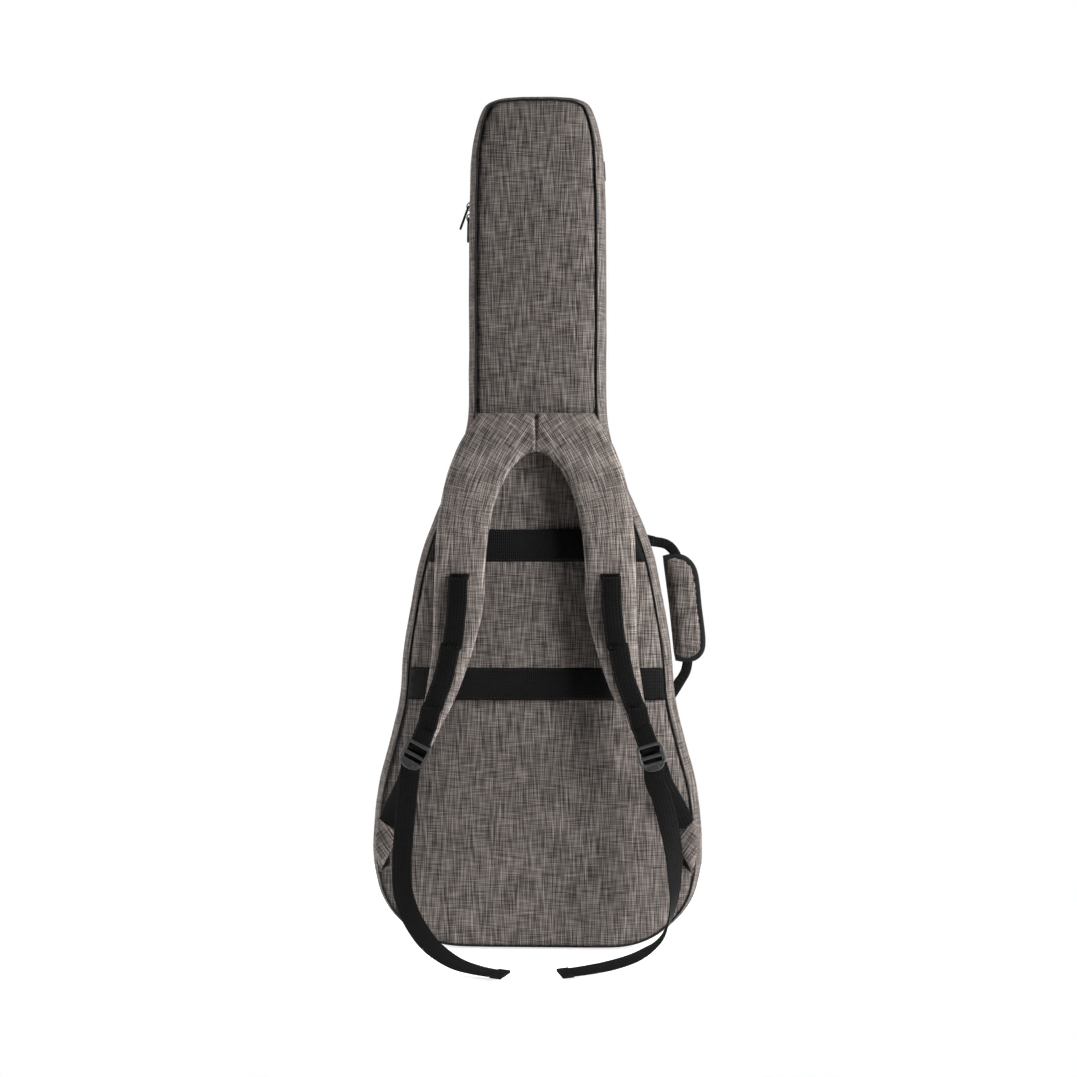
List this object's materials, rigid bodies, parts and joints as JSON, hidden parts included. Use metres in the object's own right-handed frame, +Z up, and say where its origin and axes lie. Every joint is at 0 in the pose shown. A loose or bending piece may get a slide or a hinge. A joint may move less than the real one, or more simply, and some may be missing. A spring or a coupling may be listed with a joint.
{
  "type": "padded gig bag",
  "caption": "Soft padded bag for an acoustic guitar, with a hinged lid, two shoulder straps, a side handle and an accessory pocket.",
  "frame": {"origin": "on the floor, in the middle of the flat base", "axes": "+Z up along the neck, +X to the handle side, -Y to the strap side, +Y to the lid"},
  "size_m": [0.426, 0.3778, 1.09],
  "materials": {
    "melange_fabric": "woven heathered polyester, matt",
    "webbing": "ribbed nylon webbing",
    "piping": "covered cord and binding tape",
    "zip_tape": "woven tape with a nylon coil",
    "lining": "smooth nylon lining",
    "foam": "closed-cell foam",
    "buckle_plastic": "moulded acetal, satin",
    "zip_metal": "black enamel on die-cast zinc"
  },
  "bodies": {
    "root": {"back_panel": "melange_fabric", "back_foam": "foam", "back_lining": "lining", "back_piping": "piping", "base_gusset": "melange_fabric", "side_gusset_left": "melange_fabric", "side_gusset_right": "melange_fabric", "neck_gusset": "melange_fabric", "wall_foam": "foam", "zip_tape_back": "zip_tape", "zip_end_tabs": "webbing", "band_upper": "webbing", "band_lower": "webbing", "back_sleeve": "melange_fabric", "yoke_left": "melange_fabric", "yoke_right": "melange_fabric", "side_tab_left": "melange_fabric", "side_tab_right": "melange_fabric", "lower_web_left": "webbing", "lower_web_right": "webbing", "handle_anchors": "webbing", "neck_rest": "foam", "neck_strap_left": "webbing", "neck_strap_right": "webbing", "end_pad": "foam"},
    "lid": {"front_panel": "melange_fabric", "front_foam": "foam", "front_lining": "lining", "front_piping": "piping", "lid_gusset": "melange_fabric", "lid_wall_foam": "foam", "zip_tape_front": "zip_tape", "pocket_panel": "melange_fabric", "pocket_gusset": "melange_fabric", "pocket_piping": "piping", "pocket_zip_tape": "zip_tape"},
    "upper_slider": {"upper_slider": "zip_metal"},
    "lower_slider": {"lower_slider": "zip_metal"},
    "upper_pull": {"upper_pull": "zip_metal"},
    "lower_pull": {"lower_pull": "zip_metal"},
    "strap_left": {"strap_pad_left": "melange_fabric", "strap_foam_left": "foam", "strap_web_left": "webbing"},
    "strap_right": {"strap_pad_right": "melange_fabric", "strap_foam_right": "foam", "strap_web_right": "webbing"},
    "lock_left": {"ladder_lock_left": "buckle_plastic"},
    "lock_right": {"ladder_lock_right": "buckle_plastic"},
    "tail_left": {"strap_tail_left": "webbing", "tail_hem_left": "webbing"},
    "tail_right": {"strap_tail_right": "webbing", "tail_hem_right": "webbing"},
    "handle": {"handle_web": "webbing", "handle_grip": "melange_fabric", "handle_binding": "piping"},
    "pocket_slider": {"pocket_slider": "zip_metal"},
    "pocket_pull": {"pocket_pull": "zip_metal"}
  },
  "joints": [
    {"name": "lid_hinge", "type": "hinge", "parent": "root", "child": "lid", "pos_m": [0.2175, 0.025, 0.126], "axis": [0.1455, 0, -0.9894], "range_deg": [0, 150]},
    {"name": "upper_slide", "type": "slide", "parent": "root", "child": "upper_slider", "axis": [0, 0, 1], "range_m": [0, 0.05]},
    {"name": "lower_slide", "type": "slide", "parent": "root", "child": "lower_slider", "axis": [0, 0, -1], "range_m": [0, 0.23]},
    {"name": "upper_pull_swing", "type": "hinge", "parent": "upper_slider", "child": "upper_pull", "pos_m": [-0.0934, 0.025, 0.9585], "axis": [0, 1, 0], "range_deg": [0, 90]},
    {"name": "lower_pull_swing", "type": "hinge", "parent": "lower_slider", "child": "lower_pull", "pos_m": [-0.0934, 0.025, 0.9435], "axis": [0, 1, 0], "range_deg": [0, 90]},
    {"name": "strap_swing_left", "type": "hinge", "parent": "root", "child": "strap_left", "pos_m": [0, -0.0696, 0.628], "axis": [-1, 0, 0], "range_deg": [0, 16]},
    {"name": "lock_tilt_left", "type": "hinge", "parent": "strap_left", "child": "lock_left", "pos_m": [-0.1445, -0.11312, 0.25947], "axis": [-0.8829, 0.045, 0.4673], "range_deg": [0, 30]},
    {"name": "tail_hang_left", "type": "hinge", "parent": "strap_left", "child": "tail_left", "pos_m": [-0.153, -0.107, 0.228], "axis": [1, 0, 0], "range_deg": [0, 16]},
    {"name": "strap_swing_right", "type": "hinge", "parent": "root", "child": "strap_right", "pos_m": [0, -0.0696, 0.628], "axis": [-1, 0, 0], "range_deg": [0, 16]},
    {"name": "lock_tilt_right", "type": "hinge", "parent": "strap_right", "child": "lock_right", "pos_m": [0.1445, -0.11312, 0.25947], "axis": [-0.9613, -0.0264, -0.2744], "range_deg": [0, 30]},
    {"name": "tail_hang_right", "type": "hinge", "parent": "strap_right", "child": "tail_right", "pos_m": [0.153, -0.107, 0.228], "axis": [1, 0, 0], "range_deg": [0, 16]},
    {"name": "handle_swing", "type": "hinge", "parent": "root", "child": "handle", "pos_m": [0.1795, -0.025, 0.333], "axis": [0.1541, 0, -0.9881], "range_deg": [0, 40], "stiffness_Nm_per_rad": 0.05},
    {"name": "pocket_slide", "type": "slide", "parent": "lid", "child": "pocket_slider", "axis": [-1, 0, 0], "range_m": [0, 0.12]},
    {"name": "pocket_pull_swing", "type": "hinge", "parent": "pocket_slider", "child": "pocket_pull", "pos_m": [0.06, 0.0788, 0.469], "axis": [0, -1, 0], "range_deg": [0, 180]}
  ],
  "couplings": [
    {"joint": "tail_hang_left", "follows": "strap_swing_left", "ratio": 1},
    {"joint": "tail_hang_right", "follows": "strap_swing_right", "ratio": 1},
    {"joint": "upper_pull_swing", "follows": "lower_pull_swing", "ratio": 1}
  ]
}
